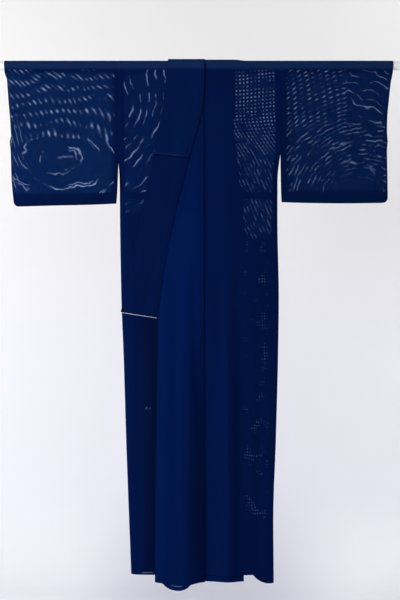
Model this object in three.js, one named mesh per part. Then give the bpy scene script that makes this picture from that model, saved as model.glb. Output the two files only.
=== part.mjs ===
// A woman's summer kimono hung by its sleeves on a plain rod, left front on top, collar opened flat.
// Millimetres. X runs along the rod, the front faces -Y, Z is up, and the origin is on the rod's axis.
import * as THREE from "three";

const rodRadius = 14;
const rodLength = 1400;
const cloth = 1; // one layer of cloth
const band = 1.6; // the collar, two layers of cloth
const seam = 0.8; // space between two sewn pieces
const onRod = rodRadius + 0.7 + cloth / 2; // middle of the layer that lies on the rod
const layer = 3.4; // from the under front to the top front
const overBand = 1.6; // from the collar's middle to the over-collar's
const liningIn = 1.6; // from the back panels' middle to the seat lining's

const bodyHem = -1580;
const okumiHem = -1602;
const okumiSeam = 15.5; // half the space between the two neck points, drawn together on the rod
const neckDrop = -33; // the back neckline, below the rod's axis
const collarStand = 56; // the back collar folded in half
const armholeEnd = -260;
const cuffEnd = -245; // the open cuff ends here, and a seam closes the edge below it
const sleeveCorner = 16;
const frontHalfGap = { top: onRod, hem: 10 };
const backHalfGap = { top: onRod, hem: 12 };
const sewnHalfGap = 0.9; // half the space where front and back are sewn together
const edgeEase = 14; // how soon the cloth leaves that seam
const collarBend = { share: 0.35, ease: 34 };
const coverMargin = 4; // the top front stays a layer out this far past what lies beneath it
const coverEase = 42;
const pleat = { foot: 10, turnTop: 6, turnHem: 8, halfTop: 52, halfHem: 60 }; // behind the centre back

// The body's outline. left and right are the wearer's, and the left is at +X.
const sideEdges = [
  { z: 25, left: 251, right: -253.3 },
  { z: -260, left: 250.4, right: -253.3 },
  { z: -300, left: 245.5, right: -252.6 },
  { z: -350, left: 241, right: -249.8 },
  { z: -480, left: 240.8, right: -248.6 },
  { z: -720, left: 245, right: -244.5 },
  { z: -910, left: 242.5, right: -237.2 },
  { z: -1160, left: 236, right: -229.6 },
  { z: -1410, left: 228, right: -220.4 },
  { z: -1580, left: 229, right: -213.6 },
];
// The sleeves: the edge by the body, and the edge with the cuff in it.
const sleeveEdges = [
  { z: 25, leftInner: 251.8, leftCuff: 600.5, rightInner: -254.1, rightCuff: -608 },
  { z: -30, leftInner: 251.8, leftCuff: 596, rightInner: -254.1, rightCuff: -604.5 },
  { z: -105, leftInner: 251.7, leftCuff: 588, rightInner: -254.1, rightCuff: -599 },
  { z: -170, leftInner: 251.5, leftCuff: 582.5, rightInner: -254.1, rightCuff: -593.6 },
  { z: -260, leftInner: 251.3, leftCuff: 581.5, rightInner: -254.1, rightCuff: -588.8 },
  { z: -350, leftInner: 252.3, leftCuff: 583, rightInner: -256.8, rightCuff: -586 },
  { z: -430, leftInner: 254, leftCuff: 584, rightInner: -260.4, rightCuff: -579 },
];
// How far down the sleeves' lower edge lies, from the body's side (part 0) to the cuff's side (part 1).
const sleeveBottoms = [
  { part: 0, left: -424, right: -428.5 },
  { part: 0.25, left: -426.5, right: -432 },
  { part: 0.6, left: -427.7, right: -434.5 },
  { part: 1, left: -426, right: -438 },
];
// The collar on the top front: the seam to the left front, and the free edge.
const topCollar = [
  { z: 25, seam: 15.5, free: -99 },
  { z: -28, seam: 15.3, free: -103 },
  { z: -121, seam: 9.3, free: -114.7 },
  { z: -275, seam: -29, free: -141 },
  { z: -370, seam: -53, free: -163 },
  { z: -465, seam: -75.5, free: -184 },
  { z: -632, seam: -108.5, free: -217 },
  { z: -784, seam: -130, free: -249.5 },
];
const topCollarEnd = { free: -766, seam: -784 };
// The collar of the under front. It is folded to half its width by the lower end.
const underCollar = [
  { z: 25, seam: -15.5, free: 99 },
  { z: -121, seam: -15.5, free: 100.8 },
  { z: -282, seam: 24.8, free: 107 },
  { z: -415, seam: 57, free: 124 },
  { z: -493, seam: 75.5, free: 134 },
  { z: -632, seam: 108.5, free: 164.3 },
  { z: -784, seam: 130.2, free: 186 },
];
const underCollarEnd = { free: -775, seam: -784 };
const underCollarThick = { open: band, folded: 2.8, from: -300, to: -600 };
const okumiEdge = { topAtHem: -139.5, underAtHem: 136 };
const overCollarEnd = { free: -270, seam: -282 };
const overCollarBehind = 0.62; // how far over the rod it goes, as a part of the collar's way
const seatLiningSpan = { top: -521, hem: -1560, sideInset: 9 };
const liningEdge = { peep: 3.2, tucked: 24, under: 1.7, inset: 3 }; // white edge below the collar's end

// Soft folds that stand out of the front and grow from the hip to the hem.
const frontFolds = [
  { x: -68, reach: 72, out: 32 },
  { x: 60, reach: 56, out: 18 },
];
const foldStart = -520;
const foldFull = -1500;
const underFoldShare = 0.75;
// Where the hems hang lower than their own level.
const hemDrops = [
  { x: -72, reach: 42, down: 20 },
  { x: 218, reach: 52, down: 28 },
];

// Heights of the rows of points, as parts of the way from the rod's axis to the hem.
const bodyRows = [
  0, 0.009, 0.021, 0.05, 0.1, 0.16, 0.2, 0.24, 0.3, 0.38, 0.47, 0.56, 0.66, 0.76, 0.85, 0.93, 1,
];
const neckRow = 2; // the back neckline is at this row
const sleeveRows = [0, 0.12, 0.28, 0.44, 0.6, 0.74, 0.85, 0.93, 0.97, 1];
const turnSteps = 8; // steps round the top of the rod
const collarSteps = 14; // from the rod to the collar's lower end
const lowerOkumiSteps = 7; // from there to the hem
const okumiColumns = [0, 0.08, 0.2, 0.32, 0.44, 0.56, 0.68, 0.8, 0.92, 1];
const bodyColumns = [0, 0.02, 0.055, 0.11, 0.19, 0.28, 0.37, 0.46, 0.55, 0.64, 0.73, 0.82, 0.91, 1];
const sleeveColumns = [0, 0.04, 0.14, 0.28, 0.43, 0.58, 0.72, 0.83, 0.91, 0.954, 0.972, 0.988, 1];
const pleatColumns = [0.25, 0.5, 0.75, 1, 1.5, 2, 2.25, 2.5, 2.75, 3, 3.33, 3.66, 4];

const finishes = {
  navyCloth: { color: 0x051a4a, roughness: 0.85, metalness: 0 },
  whiteCloth: { color: 0xe9e7e0, roughness: 0.85, metalness: 0 },
  whiteRod: { color: 0xf0efec, roughness: 0.4, metalness: 0 },
};

const mix = (a, b, t) => a + (b - a) * t;
const even = (count) => Array.from({ length: count + 1 }, (_, k) => k / count);

// A smooth curve, with no overshoot, through one column of a table whose rows are in order of key.
function follow(table, key, column, value) {
  const way = Math.sign(table[1][key] - table[0][key]);
  const last = table.length - 1;
  if (way * (value - table[0][key]) <= 0) return table[0][column];
  if (way * (value - table[last][key]) >= 0) return table[last][column];
  let k = 0;
  while (way * (value - table[k + 1][key]) > 0) k++;
  const rise = (n) => (table[n + 1][column] - table[n][column]) / (table[n + 1][key] - table[n][key]);
  const slope = (n) => {
    if (n === 0) return rise(0);
    if (n === last) return rise(last - 1);
    const before = rise(n - 1);
    const after = rise(n);
    return before * after > 0 ? (2 * before * after) / (before + after) : 0;
  };
  const span = table[k + 1][key] - table[k][key];
  const t = (value - table[k][key]) / span;
  const h = t * t * (3 - 2 * t);
  return (
    mix(table[k][column], table[k + 1][column], h) +
    span * slope(k) * t * (1 - t) * (1 - t) -
    span * slope(k + 1) * t * t * (1 - t)
  );
}

// A rise from 0 to 1 between two heights, the first one higher.
const below = (upper, lower, z) => THREE.MathUtils.smoothstep(-z, -upper, -lower);
const bump = (x, middle, reach) =>
  Math.abs(x - middle) < reach ? Math.cos((Math.PI / 2) * ((x - middle) / reach)) ** 2 : 0;

const foldOut = (x, z) =>
  below(foldStart, foldFull, z) * frontFolds.reduce((sum, f) => sum + f.out * bump(x, f.x, f.reach), 0);
const hemDrop = (x) => hemDrops.reduce((sum, h) => sum + h.down * bump(x, h.x, h.reach), 0);
const halfGap = (gap, z) => mix(gap.top, gap.hem, THREE.MathUtils.clamp(z / bodyHem, 0, 1));

// From 0 at a side seam to 1 well inside it. There is no side seam beside the armhole.
function sideEase(x, z, share = 1, ease = edgeEase) {
  const inside = Math.min(
    follow(sideEdges, "z", "left", z) - x,
    x - follow(sideEdges, "z", "right", z),
  );
  const sewn = below(armholeEnd - 20, armholeEnd - 100, z);
  return 1 - share * sewn * Math.exp(-Math.max(inside, 0) / ease);
}

const flatFront = (x, z, ease = sideEase(x, z)) => -mix(sewnHalfGap, halfGap(frontHalfGap, z), ease);
const underFront = (x, z) => flatFront(x, z) - underFoldShare * foldOut(x, z);
// 1 where the under front's collar or overlap panel lies beneath the top front, 0 near its side seam.
function covers(x, z) {
  const edge =
    z > underCollarEnd.free
      ? follow(underCollar, "z", "free", z) + coverMargin
      : mix(underCollar.at(-1).free, okumiEdge.underAtHem, below(-900, -1300, z)) + coverMargin;
  return 1 - THREE.MathUtils.smoothstep(x, edge, edge + coverEase);
}
const topFront = (x, z) => flatFront(x, z) - layer * covers(x, z) - foldOut(x, z);
// The wide collar is stiffer than the front, so by the side seam it bends in less.
const collarFront = (x, z) => flatFront(x, z, sideEase(x, z, collarBend.share, collarBend.ease)) - layer;
// The left shoulder lies on the under collar, so there its back starts a layer further out.
const backLift = (side, x, z) =>
  side === "left" ? layer * covers(x, 0) * (1 - below(-14, neckDrop, z)) : 0;
const back = (side, x, z) =>
  mix(sewnHalfGap, halfGap(backHalfGap, z), sideEase(x, z)) + backLift(side, x, z);

// The places along a cloth that hangs over the rod, from its front end to its back end.
function overRod(rows, backRows) {
  const turns = even(turnSteps).slice(1, -1);
  return [
    ...rows.map((part) => ({ face: -1, part })).reverse(),
    ...turns.map((t) => ({ turn: mix(-Math.PI / 2, Math.PI / 2, t) })),
    ...backRows.map((part) => ({ face: 1, part })),
  ];
}

// A point of such a cloth. across gives x, depth the distance from the plane of the rod's axis.
function hungPoint(piece, column, place) {
  if (place.turn !== undefined) {
    const x = piece.across(column, 0, Math.sin(place.turn));
    const radius = piece.depth(x, 0, 1, column);
    return new THREE.Vector3(x, radius * Math.sin(place.turn), radius * Math.cos(place.turn));
  }
  const z = piece.height(column, place.part, place.face);
  const x = piece.across(column, z, place.face);
  return new THREE.Vector3(x, place.face * piece.depth(x, z, place.face, column), z);
}

// The fold that takes up the back's spare width: out behind the side part, and back to the middle.
// path is 0 to 1 round the first turn, 1 to 2 outwards, 2 to 3 round the second turn, 3 to 4 inwards.
function pleatPoint(side, path, z) {
  const part = THREE.MathUtils.clamp(z / bodyHem, 0, 1);
  const turn = mix(pleat.turnTop, pleat.turnHem, part);
  const near = pleat.foot + turn;
  const far = mix(pleat.halfTop, pleat.halfHem, part) - turn;
  const start = back(side, side === "left" ? near : -near, z);
  let x;
  let y;
  if (path <= 1) {
    x = near - turn * Math.sin(Math.PI * path);
    y = turn * (1 - Math.cos(Math.PI * path));
  } else if (path <= 2) {
    x = mix(near, far, path - 1);
    y = 2 * turn;
  } else if (path <= 3) {
    x = far + turn * Math.sin(Math.PI * (path - 2));
    y = turn * (3 - Math.cos(Math.PI * (path - 2)));
  } else {
    x = mix(far, seam / 2, path - 3);
    y = 4 * turn;
  }
  return new THREE.Vector3(side === "left" ? x : -x, start + y, z);
}

function bodyPiece(side) {
  const sign = side === "left" ? 1 : -1;
  const inner = sign * (okumiSeam + seam / 2);
  const innerBack = (z) =>
    sign * (pleat.foot + mix(pleat.turnTop, pleat.turnHem, THREE.MathUtils.clamp(z / bodyHem, 0, 1)));
  return {
    height: (column, part) => {
      const x = mix(follow(sideEdges, "z", side, bodyHem), inner, column);
      return part * bodyHem - hemDrop(x) * part ** 8 * (x > 0 ? 1 : 0);
    },
    across: (column, z, way) =>
      mix(follow(sideEdges, "z", side, z), mix(inner, innerBack(z), (way + 1) / 2), column),
    depth: (x, z, face) => {
      if (z >= 0) return side === "left" ? onRod + layer * covers(x, 0) : onRod;
      if (face > 0) return back(side, x, z);
      return side === "left" ? -topFront(x, z) : -underFront(x, z);
    },
  };
}

// A closed wall round a grid of points, grid[row][column], half its thickness to each side.
function wall(grid, thickness, { kept = () => true, ring = false } = {}) {
  const rows = grid.length;
  const columns = grid[0].length;
  const cellRows = ring ? rows : rows - 1;
  const inGrid = (r, c) => (ring || (r >= 0 && r < cellRows)) && c >= 0 && c < columns - 1;
  const has = (r, c) => inGrid(r, c) && kept((r + rows) % rows, c);
  const id = (r, c) => ((r + rows) % rows) * columns + c;
  const at = (r, c) => grid[(r + rows) % rows][c];

  const normals = Array.from({ length: rows * columns }, () => new THREE.Vector3());
  const cells = [];
  for (let r = 0; r < cellRows; r++)
    for (let c = 0; c < columns - 1; c++) {
      if (!has(r, c)) continue;
      cells.push([r, c]);
      const up = at(r + 1, c + 1).clone().sub(at(r, c));
      const down = at(r + 1, c).clone().sub(at(r, c + 1));
      const normal = up.cross(down).normalize();
      for (const corner of [id(r, c), id(r, c + 1), id(r + 1, c), id(r + 1, c + 1)])
        normals[corner].add(normal);
    }

  const positions = [];
  const numbers = new Map(); // grid point to its outer point's number, and the inner one is the next
  const outer = (r, c) => {
    const key = id(r, c);
    if (!numbers.has(key)) {
      numbers.set(key, positions.length / 3);
      const half = (typeof thickness === "number" ? thickness : thickness(at(r, c))) / 2;
      const out = normals[key].normalize().multiplyScalar(half);
      positions.push(...at(r, c).clone().add(out).toArray(), ...at(r, c).clone().sub(out).toArray());
    }
    return numbers.get(key);
  };
  const faces = [];
  const close = (p, q) => faces.push(p, p + 1, q + 1, p, q + 1, q);
  for (const [r, c] of cells) {
    const a = outer(r, c);
    const b = outer(r, c + 1);
    const d = outer(r + 1, c);
    const e = outer(r + 1, c + 1);
    faces.push(a, b, e, a, e, d);
    faces.push(a + 1, e + 1, b + 1, a + 1, d + 1, e + 1);
    if (!has(r - 1, c)) close(a, b);
    if (!has(r, c + 1)) close(b, e);
    if (!has(r + 1, c)) close(e, d);
    if (!has(r, c - 1)) close(d, a);
  }
  const geometry = new THREE.BufferGeometry();
  geometry.setAttribute("position", new THREE.Float32BufferAttribute(positions, 3));
  geometry.setIndex(faces);
  geometry.computeVertexNormals();
  return geometry;
}

// A point of a surface moved along the surface's own normal, for a piece that lies on it.
function moved(surface, distance) {
  const step = 0.002;
  return (u, v) => {
    const point = surface(u, v);
    const alongU = surface(u + step, v).sub(surface(u - step, v));
    const alongV = surface(u, v + step).sub(surface(u, v - step));
    return point.add(alongU.cross(alongV).normalize().multiplyScalar(distance));
  };
}

const gridOf = (places, columns, point) => places.map((p) => columns.map((c) => point(c, p)));

const garment = new THREE.Group();
function add(name, finish, geometry) {
  const mesh = new THREE.Mesh(geometry, new THREE.MeshStandardMaterial(finishes[finish]));
  mesh.name = name;
  garment.add(mesh);
  return mesh;
}

function makeBody(side) {
  const piece = bodyPiece(side);
  const places = overRod(bodyRows, bodyRows);
  const firstPleatRow = places.length - bodyRows.length + neckRow;
  const grid = places.map((place, r) => {
    const row = bodyColumns.map((column) => hungPoint(piece, column, place));
    const height = r < firstPleatRow ? neckDrop : place.part * bodyHem;
    return [...row, ...pleatColumns.map((path) => pleatPoint(side, path, height))];
  });
  const plain = bodyColumns.length - 1;
  return wall(grid, cloth, { kept: (r, c) => c < plain || r >= firstPleatRow });
}

function makeSleeve(side) {
  const bottom = (column) => {
    const corner = Math.max(0, (column - sleeveColumns.at(-4)) / (1 - sleeveColumns.at(-4)));
    return follow(sleeveBottoms, "part", side, column) + sleeveCorner * (1 - Math.sqrt(1 - corner ** 2));
  };
  const piece = {
    height: (column, part) => part * bottom(column),
    across: (column, z) =>
      mix(follow(sleeveEdges, "z", side + "Inner", z), follow(sleeveEdges, "z", side + "Cuff", z), column),
    depth: (x, z, face, column) => {
      if (z >= 0) return onRod;
      const fromCuff = Math.abs(follow(sleeveEdges, "z", side + "Cuff", z) - x);
      const cuffEase = 1 - below(cuffEnd + 15, cuffEnd - 20, z) * Math.exp(-fromCuff / edgeEase);
      const bottomEase = 1 - Math.exp(-(z - bottom(column)) / edgeEase);
      return mix(sewnHalfGap, halfGap(face < 0 ? frontHalfGap : backHalfGap, z), cuffEase * bottomEase);
    },
  };
  const places = overRod(sleeveRows, sleeveRows);
  return wall(gridOf(places, sleeveColumns, (c, place) => hungPoint(piece, c, place)), cloth, { ring: true });
}

// An overlap panel, from its tip beside the collar to the hem. Column 0 is at its free edge.
// Its rows are level with the collar's down to the collar's end, so that the two edges stay apart.
function makeOkumi({ tip, edge, seamX, hem, front }) {
  const beside = even(collarSteps).map((part) => part * topCollarEnd.seam).filter((z) => z < tip - 10);
  const lower = even(lowerOkumiSteps).slice(1).map((part) => mix(topCollarEnd.seam, hem, part));
  return wall(
    gridOf([tip, ...beside, ...lower], okumiColumns, (column, level) => {
      const drop = hemDrop(mix(edge(hem), seamX, column)) * (level / hem) ** 8;
      const x = mix(edge(level), seamX, column);
      return new THREE.Vector3(x, front(x, level), level - drop);
    }),
    cloth,
  );
}

// The panel's free edge: along the collar's seam, then straight down to the hem.
const freeEdge = (table, atHem, end, gap) => (z) => {
  if (z > end) return follow(table, "z", "seam", z) + gap;
  return mix(table.at(-1).seam, atHem, below(end, okumiHem, z)) + gap;
};

// A collar stretch from its lower end up the front, over the rod and a little way down the back.
function collarSurface({ table, end, seamShift, front, lift, tail }) {
  return (column, along) => {
    // along is -1 at the lower end, 0 at the rod's front and 1 at the end behind the rod
    if (along <= 0) {
      const z = -along * mix(end.free, end.seam, column);
      const x = mix(follow(table, "z", "free", z), follow(table, "z", "seam", z) + seamShift, column);
      return new THREE.Vector3(x, front(x, z), z);
    }
    const x = mix(table[0].free, table[0].seam + seamShift, column);
    const radius = onRod + lift;
    const arc = Math.PI * radius;
    const gone = along * (arc + tail);
    if (gone > arc) return new THREE.Vector3(x, radius, arc - gone);
    const turn = gone / radius - Math.PI / 2;
    return new THREE.Vector3(x, radius * Math.sin(turn), radius * Math.cos(turn));
  };
}

const topCollarSurface = collarSurface({
  table: topCollar,
  end: topCollarEnd,
  seamShift: -seam / 2,
  front: collarFront,
  lift: layer,
  tail: 12,
});
const underCollarSurface = collarSurface({
  table: underCollar,
  end: underCollarEnd,
  seamShift: seam / 2,
  front: underFront,
  lift: 0,
  tail: 10,
});
const collarRows = [...even(collarSteps).map((part) => part - 1), ...even(9).slice(1)];
const collarColumns = even(5);

function makeUnderCollar() {
  const { open, folded, from, to } = underCollarThick;
  const thickness = (point) => mix(open, folded, below(from, to, point.z));
  return wall(gridOf(collarRows, collarColumns, underCollarSurface), thickness);
}

// An over-collar lies on the upper part of a collar stretch. The cross seam at its end isn't level.
function makeOverCollar(surface, end, outward) {
  const onTop = moved(surface, outward * overBand);
  const rows = [...even(6).map((part) => part - 1), ...even(8).slice(1)];
  const share = (c) => mix(overCollarEnd.free / end.free, overCollarEnd.seam / end.seam, c);
  return wall(
    gridOf(rows, even(5), (c, v) => onTop(c, v < 0 ? v * share(c) : v * overCollarBehind)),
    cloth,
  );
}

// The back collar stands on the back neckline, round the fold behind the centre back.
function makeBackCollar() {
  const heights = [neckDrop + seam, -10, 8, neckDrop + collarStand];
  // it starts halfway round the first turn, clear of the collar's other stretches
  const paths = pleatColumns.filter((path) => path >= 0.5 && path < 4);
  const half = (side, order, z) => order.map((path) => pleatPoint(side, path, neckDrop).setZ(z));
  return wall(
    heights.map((z) => [...half("left", paths, z), ...half("right", [...paths].reverse(), z)]),
    band,
  );
}

// The seat lining is made from the back panels' points, moved in, side to side.
function makeSeatLining() {
  const rows = even(9).map((part) => mix(seatLiningSpan.top, seatLiningSpan.hem, part));
  const insides = { left: 1, right: -1 };
  const flat = (side) => (z, share) => {
    const edge = follow(sideEdges, "z", side, z) - insides[side] * seatLiningSpan.sideInset;
    const near = insides[side] * (pleat.foot + mix(pleat.turnTop, pleat.turnHem, z / bodyHem));
    const x = mix(edge, near, share);
    return new THREE.Vector3(x, back(side, x, z) - liningIn, z);
  };
  const folded = (side) => (z, path) => {
    const step = 0.02;
    const along = pleatPoint(side, Math.min(path + step, 4), z).sub(pleatPoint(side, path - step, z));
    const inward = new THREE.Vector3(-along.y, along.x, 0).multiplyScalar(insides[side]).normalize();
    return pleatPoint(side, path, z).add(inward.multiplyScalar(liningIn));
  };
  const shares = [0, 0.06, 0.16, 0.34, 0.55, 0.78, 1];
  const paths = pleatColumns.slice(0, -1);
  return wall(
    rows.map((z) => [
      ...shares.map((share) => flat("left")(z, share)),
      ...paths.map((path) => folded("left")(z, path)),
      ...[...paths].reverse().map((path) => folded("right")(z, path)),
      ...[...shares].reverse().map((share) => flat("right")(z, share)),
    ]),
    cloth,
  );
}

// The white lining of the top collar shows as a thin edge below the collar's end.
function makeCollarLining() {
  const length = Math.abs(topCollarEnd.seam);
  const rows = [-1 - liningEdge.peep / length, -1, -1 + liningEdge.tucked / length];
  const inset = liningEdge.inset / (topCollar.at(-1).seam - topCollar.at(-1).free);
  const columns = even(6).map((c) => mix(inset, 1 - inset, c));
  return wall(
    gridOf(rows, columns, (c, v) => topCollarSurface(c, v).add(new THREE.Vector3(0, liningEdge.under, 0))),
    cloth,
  );
}

const rod = add(
  "rod",
  "whiteRod",
  new THREE.CylinderGeometry(rodRadius, rodRadius, rodLength, 32),
);
rod.rotation.z = Math.PI / 2;

for (const side of ["left", "right"]) {
  add("body_" + side, "navyCloth", makeBody(side));
  add("sleeve_" + side, "navyCloth", makeSleeve(side));
}
add(
  "okumi_left",
  "navyCloth",
  makeOkumi({
    tip: -90,
    edge: freeEdge(topCollar, okumiEdge.topAtHem, topCollarEnd.seam, seam / 2),
    seamX: okumiSeam - seam / 2,
    hem: okumiHem,
    front: topFront,
  }),
);
add(
  "okumi_right",
  "navyCloth",
  makeOkumi({
    tip: -140,
    edge: freeEdge(underCollar, okumiEdge.underAtHem, underCollarEnd.seam, -seam / 2),
    seamX: -okumiSeam + seam / 2,
    hem: okumiHem + 2,
    front: underFront,
  }),
);
add("collar_left", "navyCloth", wall(gridOf(collarRows, collarColumns, topCollarSurface), band));
add("collar_right", "navyCloth", makeUnderCollar());
add("collar_back", "navyCloth", makeBackCollar());
add("over_collar_left", "navyCloth", makeOverCollar(topCollarSurface, topCollarEnd, 1));
add("over_collar_right", "navyCloth", makeOverCollar(underCollarSurface, underCollarEnd, -1));
add("collar_lining", "whiteCloth", makeCollarLining());
add("seat_lining", "navyCloth", makeSeatLining());

export default garment;
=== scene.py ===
import math

import bpy
import numpy as np
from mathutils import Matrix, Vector


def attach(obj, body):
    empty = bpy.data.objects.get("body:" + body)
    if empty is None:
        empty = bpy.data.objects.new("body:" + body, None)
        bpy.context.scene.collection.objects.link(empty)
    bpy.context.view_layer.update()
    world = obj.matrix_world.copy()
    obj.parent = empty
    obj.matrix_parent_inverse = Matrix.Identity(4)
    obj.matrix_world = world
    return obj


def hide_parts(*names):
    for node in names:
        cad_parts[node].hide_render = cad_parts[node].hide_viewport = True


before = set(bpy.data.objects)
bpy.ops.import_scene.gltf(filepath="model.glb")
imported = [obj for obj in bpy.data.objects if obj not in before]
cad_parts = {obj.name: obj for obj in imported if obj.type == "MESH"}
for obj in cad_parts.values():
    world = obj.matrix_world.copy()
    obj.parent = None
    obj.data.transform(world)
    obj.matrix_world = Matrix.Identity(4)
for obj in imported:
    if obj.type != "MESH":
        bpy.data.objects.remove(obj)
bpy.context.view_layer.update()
scene = bpy.context.scene

# Sizes are in millimetres, as on a maker's pattern, and each mesh is scaled to metres as it is made.
# X runs along the rod, the front faces -Y, and left and right are the wearer's.
hang = {
    "onRod": 15.2,         # from the rod's axis to the middle of the layer on it
    "layer": 3.4,          # from the under front to the top front
    "bodyHem": -1580,
    "okumiHem": -1602,
    "okumiSeam": 15.5,
    "neckDrop": -33,
    "frontHalfGap": (15.2, 10),
    "backHalfGap": (15.2, 12),
    "sewnHalfGap": 0.9,
    "edgeEase": 14,
    "coverMargin": 4,
    "coverEase": 42,
}
pleat = {"top": -33.18, "foot": 10, "turnTop": 6, "turnHem": 8, "halfTop": 52, "halfHem": 60}
armhole = {"left": 251.3, "right": -253.7, "end": (-262, -276)}
signs = {"left": 1, "right": -1}
farAway = 500                                   # stands for no edge near
frontFolds = [                                  # x, how far out at the hem
    (-142, 0), (-132, 5), (-118, 11.5), (-98, 17), (-74, 21.5), (-56, 27), (-42, 30), (-30, 28), (-18, 20),
    (-6, 10), (4, 3), (12, 1.5), (24, 2), (38, 4.5), (56, 10), (74, 15.5), (88, 17.5), (100, 15), (112, 10),
    (124, 5), (140, 1), (150, 0),
]
hemDrops = [(-72, 42, 20), (218, 52, 28)]       # x, reach, how far down
hemDropRound = 0.32
foldRise = (-400, -1380)
underFoldShare = 0.75


def mix(first, second, share):
    return first + (second - first) * share


def smoothLine(points):
    keys, values = np.array(sorted(points), float).T
    rises = np.diff(values) / np.diff(keys)
    slopes = np.empty(len(keys))
    slopes[0], slopes[-1] = rises[0], rises[-1]
    for n in range(1, len(keys) - 1):
        before, after = rises[n - 1], rises[n]
        slopes[n] = 2 * before * after / (before + after) if before * after > 0 else 0

    def at(key):
        key = np.clip(key, keys[0], keys[-1])
        k = np.clip(np.searchsorted(keys, key) - 1, 0, len(keys) - 2)
        span = keys[k + 1] - keys[k]
        t = (key - keys[k]) / span
        line = values[k] + (values[k + 1] - values[k]) * t * t * (3 - 2 * t)
        return line + span * slopes[k] * t * (1 - t) ** 2 - span * slopes[k + 1] * t * t * (1 - t)

    return at


sideEdge = {
    "left": smoothLine([
        (25, 251), (-260, 250.4), (-300, 245.5), (-350, 241), (-480, 240.8), (-720, 245),
        (-910, 242.5), (-1160, 236), (-1410, 228), (-1580, 229),
    ]),
    "right": smoothLine([
        (25, -253.3), (-260, -253.3), (-300, -252.6), (-350, -249.8), (-480, -248.6), (-720, -244.5),
        (-910, -237.2), (-1160, -229.6), (-1410, -220.4), (-1580, -213.6),
    ]),
}
topCollarLine = {
    "seam": smoothLine([
        (25, 15.5), (-28, 15.3), (-121, 9.3), (-275, -29), (-370, -53), (-465, -75.5), (-632, -108.5),
        (-784, -130),
    ]),
    "free": smoothLine([
        (25, -99), (-28, -103), (-121, -114.7), (-275, -141), (-370, -163), (-465, -184), (-632, -217),
        (-784, -249.5),
    ]),
    "endFree": -766,
    "endSeam": -784,
}
underCollarLine = {
    "seam": smoothLine([
        (25, -15.5), (-121, -15.5), (-282, 24.8), (-415, 57), (-493, 75.5), (-632, 108.5), (-784, 130.2),
    ]),
    "free": smoothLine([
        (25, 99), (-121, 100.8), (-282, 107), (-415, 124), (-493, 134), (-632, 164.3), (-784, 186),
    ]),
    "endFree": -775,
    "endSeam": -784,
}
collarLines = {"left": topCollarLine, "right": underCollarLine}
tuck = {"top": -394, "foot": -415, "out": 1.5}  # the waist tuck, a flat band across


def below(upper, lower, z):
    t = np.clip((upper - z) / (upper - lower), 0, 1)
    return t * t * (3 - 2 * t)


def stacked(*parts):
    return np.stack(np.broadcast_arrays(*parts), -1)


def bump(x, middle, reach):
    near = np.clip(np.abs(x - middle) / reach, 0, 1)
    return np.cos(math.pi / 2 * near) ** 2


foldProfile = smoothLine(frontFolds)


def foldOut(x, z):
    return below(*foldRise, z) * foldProfile(x)


def hemDrop(x):
    return sum(down * bump(x, middle, reach) ** hemDropRound for middle, reach, down in hemDrops)


def halfGap(name, z):
    return mix(*hang[name], np.clip(z / hang["bodyHem"], 0, 1))


def sideEase(x, z, share=1, ease=None):
    inside = np.minimum(sideEdge["left"](z) - x, x - sideEdge["right"](z))
    sewn = below(-280, -360, z)
    return 1 - share * sewn * np.exp(-np.maximum(inside, 0) / (ease or hang["edgeEase"]))


# Soft troughs and ridges: x and z of both ends, half width, height (out is positive), bow to one side
frontCreases = [
    (-214, -470, -200, -1570, 8, 1.6, 5),
    (-188, -840, -196, -1560, 15, -2.2, -7),
    (-150, -790, -160, -1590, 17, 2.6, 6),
    (-134, -700, -139, -1600, 7, -2.4, 2),
    (-100, -560, -112, -1600, 15, 2.4, 6),
    (-58, -760, -44, -1600, 13, 1.5, -5),
    (-22, -560, -12, -1600, 14, -4.6, 3),
    (8, -620, 13, -1600, 9, -2.8, 1),
    (34, -520, 40, -1600, 13, 2.6, -4),
    (78, -640, 84, -1590, 10, 1.6, 6),
    (112, -560, 118, -1600, 15, -3.6, 5),
    (150, -600, 158, -1590, 17, 1.8, 8),
    (192, -700, 184, -1590, 13, -1.8, -6),
    (220, -620, 212, -1590, 8, 1.4, 4),
    (-60, -238, -78, -262, 10, 2.6, 2),
    (-96, -226, -66, -244, 7, -1.8, -2),
    (-36, -250, -62, -268, 8, 1.6, 1),
    (-150, -60, -140, -330, 12, 1.4, 8),
    (-196, -90, -176, -420, 14, -1.6, -7),
    (-216, -250, -190, -380, 9, 1.8, 5),
    (-226, -300, -170, -520, 12, -1.4, 6),
    (-40, -90, -100, -520, 18, 1.5, 10),
    (-84, -300, -130, -640, 14, -1.4, 6),
    (-176, -560, -214, -745, 11, 1.6, 5),
    (-140, -600, -176, -760, 9, -1.5, 4),
    (46, -80, 38, -520, 16, 1.6, -6),
    (74, -120, 92, -540, 13, -1.7, 6),
    (120, -70, 132, -400, 12, 1.3, -5),
    (172, -60, 164, -470, 15, -1.5, 6),
    (206, -250, 180, -500, 10, 1.7, -5),
    (228, -290, 176, -430, 8, -1.4, 4),
    (232, -420, 214, -640, 9, 1.3, 4),
]
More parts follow.
